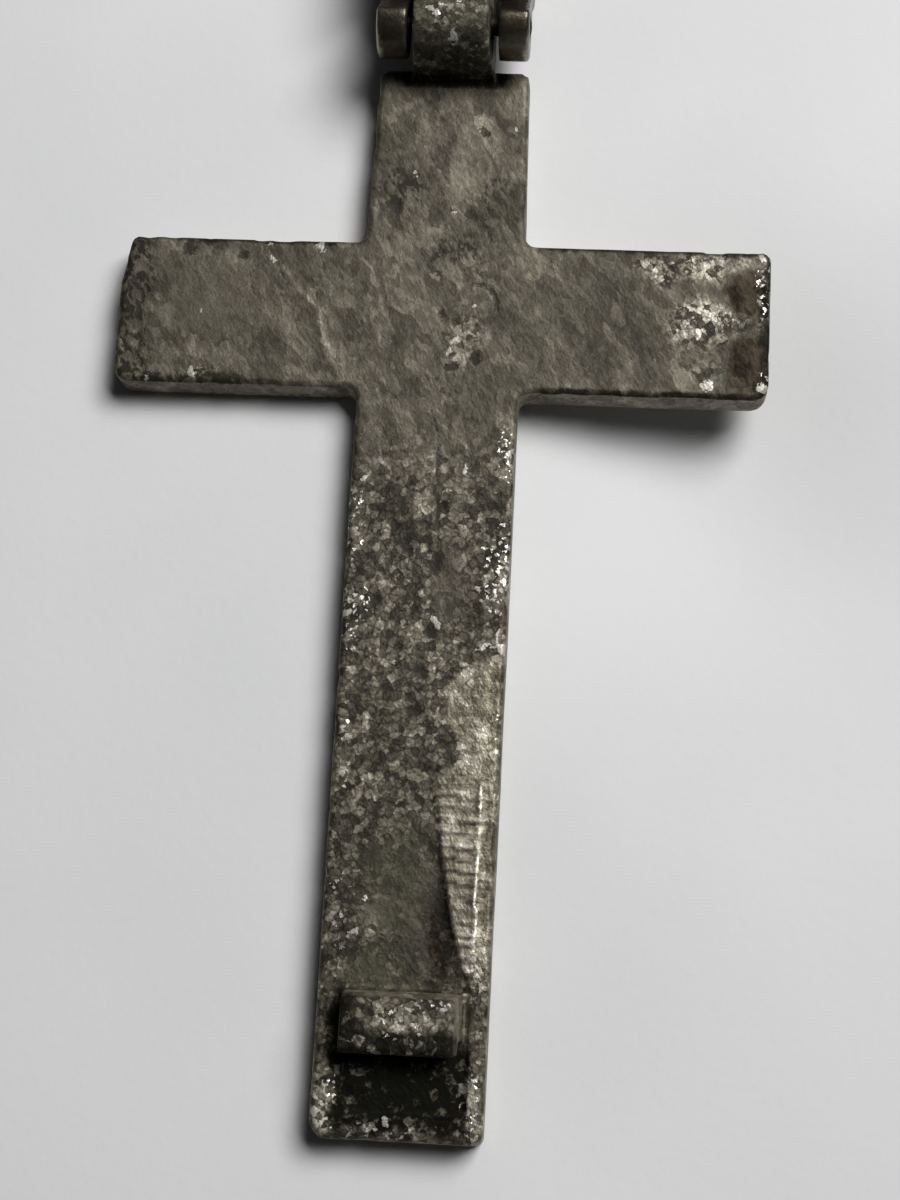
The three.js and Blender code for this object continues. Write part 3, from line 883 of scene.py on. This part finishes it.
def lid_metal():
    """Dull grey-brown casting in soft dabs, flaked down the lower limb, and bright where it is rubbed, with
    painted glints, painted light and painted shade in its colour.
    """
    mix = Nodes("lid_metal")
    skin = lid_patterns(mix)
    bare = mix.mask("bare")
    dark_dirt_and_shade = mix.mask("dark_dirt_and_shade")
    loose = mix.total(skin.flake, (skin.strokes, 1.2), (skin.crumb, 0.4))
    flaked = mix.product(mix.mask("flake"), mix.span(loose, -0.4, -0.1))
    tone = lid_tone(mix, skin, flaked)
    stain = lid_stain(mix, skin, flaked)
    bright = lid_brightness(mix, skin)
    green = mix.product(mix.mask("green"), mix.span(skin.strokes, -0.15, 0.15, 0.3, 1.0))
    clouded = mix.total(skin.clouds, (skin.strokes, 0.5))
    warm = mix.product(mix.mask("warm"), mix.span(clouded, -0.2, 0.15, 0.1, 0.5))
    dirt_and_shade_breakup = mix.total(skin.flake, (skin.strokes, 0.6), (skin.crumb, 0.4))
    pitted = mix.total(mix.mask("pit"), (skin.grains, 0.5), (skin.crumb, 0.35))
    colour = mix.ramp(tone, LID_SKIN)
    for share, cover in [
        (green, GREEN_COLOUR),
        (warm, mix.ramp(tone, WARM_SKIN)),
        (stain, mix.ramp(tone, STAINED_SKIN)),
        # Dark dirt and painted shade, a little thinner where the flakes break it
        (mix.product(dark_dirt_and_shade, mix.span(dirt_and_shade_breakup, 0.2, 0.55, 1.0, 0.6)), DIRT_AND_SHADE_COLOUR),
        (mix.span(pitted, 0.45, 0.58, 0.0, 0.85), PIT_COLOUR),
        (bright, BRIGHT_COLOUR),
    ]:
        colour = mix.blend(share, colour, cover)
    shine = mix.highest(bright, mix.product(mix.highest(bare, flaked), 0.45))
    lumps = mix.product(mix.total(skin.flake, (skin.crumb, 0.6)), mix.mask("coarse"))
    mix.bump(mix.total(0.0, (lumps, 0.5), (skin.strokes, 0.45), (skin.grains, 0.4)), 0.7, 0.12)
    return mix.finish({
        "Base Color": colour,
        "Metallic": mix.highest(mix.total(0.45, (bare, 0.25)), bright),
        "Roughness": mix.span(shine, 0.0, 1.0, 0.62, 0.34),
        "Specular IOR Level": mix.span(mix.highest(dark_dirt_and_shade, stain), 0.0, 1.0, 0.5, 0.08),
    })


def case_metal():
    """Smooth brown-grey casting outside, dull and dark inside, and bright along its rim."""
    mix = Nodes("case_metal")
    plain = mix.place()
    clouds = mix.noise(plain, 4.0, 4.0)
    grains = mix.noise(plain, 0.25, 3.0)
    flakes, _ = mix.cells(mix.warped(plain, 0.5, 0.5), 0.5)
    inside = mix.mask("inside")
    tone = mix.total(
        0.5,
        (mix.centred(clouds), 0.5),
        (mix.centred(grains), 0.2),
        (mix.centred(flakes), mix.total(0.04, (inside, 0.3))),
        (inside, -0.2),
        (mix.product(mix.mask("rim"), flakes), 0.5),
        (mix.mask("ears"), -0.14),
        # Painted highlights on the ears
        (mix.mask("worn"), 0.3),
    )
    mix.bump(mix.math("ADD", grains, tone), 0.25, 0.08)
    return mix.finish({
        "Base Color": mix.ramp(tone, CASE_SKIN),
        "Metallic": mix.span(inside, 0, 1, 0.85, 0.5),
        "Roughness": mix.total(mix.span(clouds, 0.3, 0.7, 0.26, 0.42), (inside, 0.3)),
    })


def pin_metal():
    """Near-black wire with scratches round it; its darkness is painted shade for the gaps beside the lug."""
    mix = Nodes("pin_metal")
    scratches = mix.noise(mix.place(stretch=(0.12, 1.5, 1.5)), 1.0, 3.0)
    mix.bump(scratches, 0.3, 0.05)
    return mix.finish({
        "Base Color": mix.ramp(scratches, PIN_SKIN),
        "Metallic": 0.8,
        "Roughness": mix.span(scratches, 0.3, 0.7, 0.65, 0.55),
    })


def paper():
    """Pale, faintly uneven paper."""
    mix = Nodes("paper")
    fibres = mix.noise(mix.place(), 0.9, 4.0)
    broad = mix.noise(mix.place(), 22.0)
    mix.bump(fibres, 0.25, 0.08)
    return mix.finish({
        "Base Color": mix.ramp(broad, PAPER_SHADES),
        "Roughness": 0.9,
        "Specular IOR Level": 0.2,
    })


def add_stage():
    """The sheet of paper that the cross lies on. It sags under the right arm."""
    bpy.ops.mesh.primitive_grid_add(
        x_subdivisions=PAPER_CELLS,
        y_subdivisions=PAPER_CELLS,
        size=2,
        location=(0, 0, 0),
    )
    sheet = bpy.context.object
    sheet.data.shade_smooth()
    # The cells are smallest round the middle
    for vertex in sheet.data.vertices:
        x, y = (PAPER_REACH * (0.1 * share + 0.9 * share**3) for share in vertex.co.xy)
        away = (x - SAG_PLACE[0]) ** 2 + (y - SAG_PLACE[1]) ** 2
        vertex.co = Vector((x, y, -SAG_DEPTH * math.exp(-away / SAG_REACH**2))) * MM
    sheet.name = "paper"
    sheet.data.materials.append(paper())


def add_window():
    """A broad window beyond the hinge and to the right."""
    data = bpy.data.lights.new("window", "AREA")
    data.size = WINDOW_SIZE * MM
    data.energy = WINDOW_WATTS
    data.color = WINDOW_COLOUR
    aim = Vector(WINDOW_AIM) - Vector(WINDOW_PLACE)
    light = bpy.data.objects.new("window", data)
    light.location = Vector(WINDOW_PLACE) * MM
    light.rotation_euler = aim.to_track_quat("-Z", "Y").to_euler()
    bpy.context.scene.collection.objects.link(light)


def add_room():
    """An even room, far weaker than the window."""
    world = bpy.data.worlds.new("room")
    world.use_nodes = True
    background = world.node_tree.nodes["Background"]
    background.inputs["Color"].default_value = (*ROOM_COLOUR, 1)
    background.inputs["Strength"].default_value = ROOM_STRENGTH
    bpy.context.scene.world = world


def add_camera():
    """The camera of the photograph."""
    right = Vector(CAMERA_RIGHT).normalized()
    up = Vector(CAMERA_UP).normalized()
    back = right.cross(up).normalized()
    data = bpy.data.cameras.new("camera")
    data.lens = CAMERA_LENS
    data.sensor_width = CAMERA_SENSOR
    data.clip_start = CAMERA_NEAREST * MM
    camera = bpy.data.objects.new("camera", data)
    turn = Matrix((right, up, back)).transposed().to_4x4()
    camera.matrix_world = Matrix.Translation(Vector(CROSSING + CAMERA_PLACE) * MM) @ turn
    bpy.context.scene.collection.objects.link(camera)
    bpy.context.scene.camera = camera


add_camera()
add_window()
add_room()
add_stage()
bpy.context.scene.view_settings.view_transform = "Standard"

for maker, material, node, body, slot in [
    (make_lid, lid_metal, "lid", "lid", "lid_metal"),
    (make_case, case_metal, "case", "case", "case_metal"),
    (make_pin, pin_metal, "hinge_pin", "case", "pin_metal"),
]:
    piece = maker()
    piece.data.materials.append(material())
    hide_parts(node)
    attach(piece, body)
